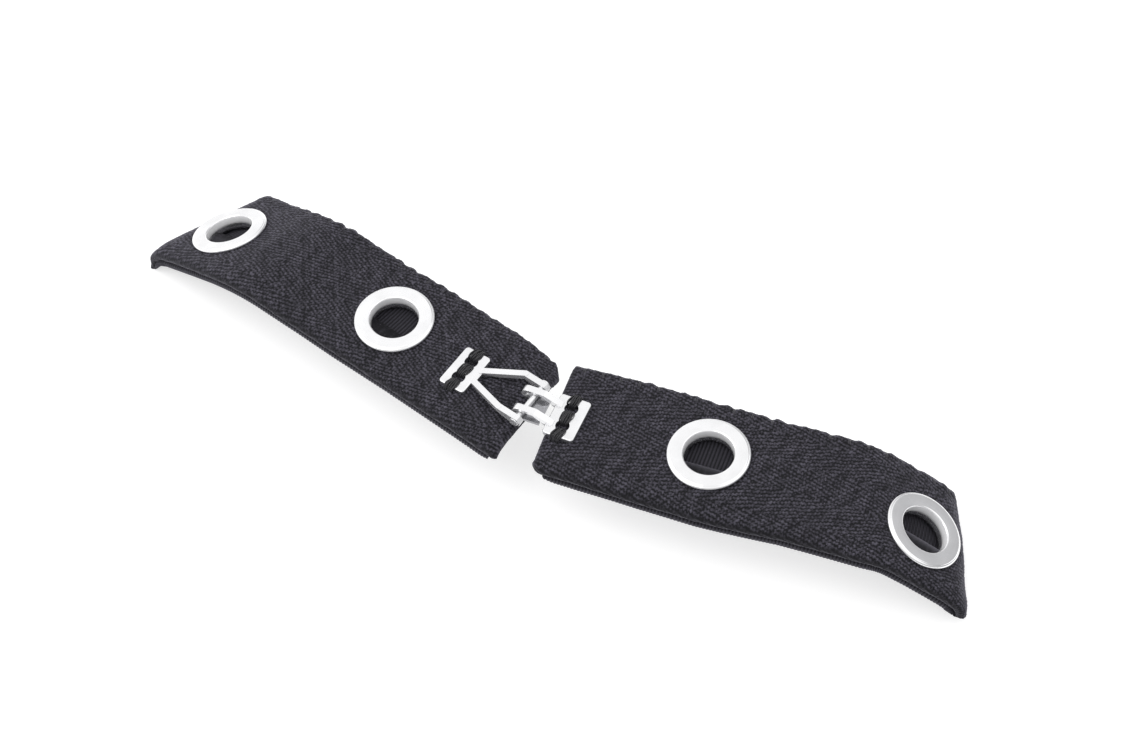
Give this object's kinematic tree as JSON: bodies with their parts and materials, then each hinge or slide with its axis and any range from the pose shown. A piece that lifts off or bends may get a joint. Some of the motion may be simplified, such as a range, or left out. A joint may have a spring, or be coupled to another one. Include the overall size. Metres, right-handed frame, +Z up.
{
  "type": "wrist band with hook clasp",
  "caption": "Black herringbone tape wrist band in two hemmed, lined halves with metal eyelets, joined by a sewn hook that grips a crossbar, standing as a low arch.",
  "frame": {"origin": "centre of the bounding box in plan, on the ground under the arch", "axes": "+X along the band from the eye half to the hook half, +Y to the overcast edge, +Z up out of the face"},
  "size_m": [0.1632, 0.0352, 0.0166],
  "materials": {
    "twill_tape": "matt black herringbone twill",
    "ribbed_lining": "matt black grosgrain",
    "thread": "matt black sewing thread",
    "eyelet_metal": "bright nickel plate",
    "eyelet_washer": "plain nickel plate",
    "clasp_metal": "bright nickel plate"
  },
  "bodies": {
    "left_inner": {"left_tape_inner": "twill_tape", "left_lining_inner": "ribbed_lining", "left_seam_inner": "thread", "left_eyelet_inner": "eyelet_metal", "left_washer_inner": "eyelet_washer", "eye_frame": "clasp_metal", "eye_stitch_near": "thread", "eye_stitch_middle": "thread", "eye_stitch_far": "thread"},
    "left_outer": {"left_tape_outer": "twill_tape", "left_lining_outer": "ribbed_lining", "left_seam_outer": "thread", "left_eyelet_outer": "eyelet_metal", "left_washer_outer": "eyelet_washer"},
    "right_inner": {"right_tape_inner": "twill_tape", "right_lining_inner": "ribbed_lining", "right_seam_inner": "thread", "right_eyelet_inner": "eyelet_metal", "right_washer_inner": "eyelet_washer", "hook": "clasp_metal", "hook_stitch_near": "thread", "hook_stitch_middle": "thread", "hook_stitch_far": "thread"},
    "right_outer": {"right_tape_outer": "twill_tape", "right_lining_outer": "ribbed_lining", "right_seam_outer": "thread", "right_eyelet_outer": "eyelet_metal", "right_washer_outer": "eyelet_washer"},
    "bar": {"crossbar": "clasp_metal"}
  },
  "joints": [
    {"name": "left_flex", "type": "hinge", "parent": "left_inner", "child": "left_outer", "pos_m": [-0.04669, 0.00207, 0.0108], "axis": [-0.1736, -0.9848, 0], "range_deg": [0, 35]},
    {"name": "clasp_pivot", "type": "hinge", "parent": "left_inner", "child": "bar", "pos_m": [0.00166, -0.00643, 0.0153], "axis": [0.0872, 0.9962, 0], "range_deg": [0, 12]},
    {"name": "hook_release", "type": "slide", "parent": "bar", "child": "right_inner", "axis": [-0.9945, -0.1045, 0], "range_m": [-0.00035, 0.0008]},
    {"name": "right_flex", "type": "hinge", "parent": "right_inner", "child": "right_outer", "pos_m": [0.05034, 0.00216, 0.0108], "axis": [-0.1719, 0.9851, 0], "range_deg": [0, 35]}
  ]
}
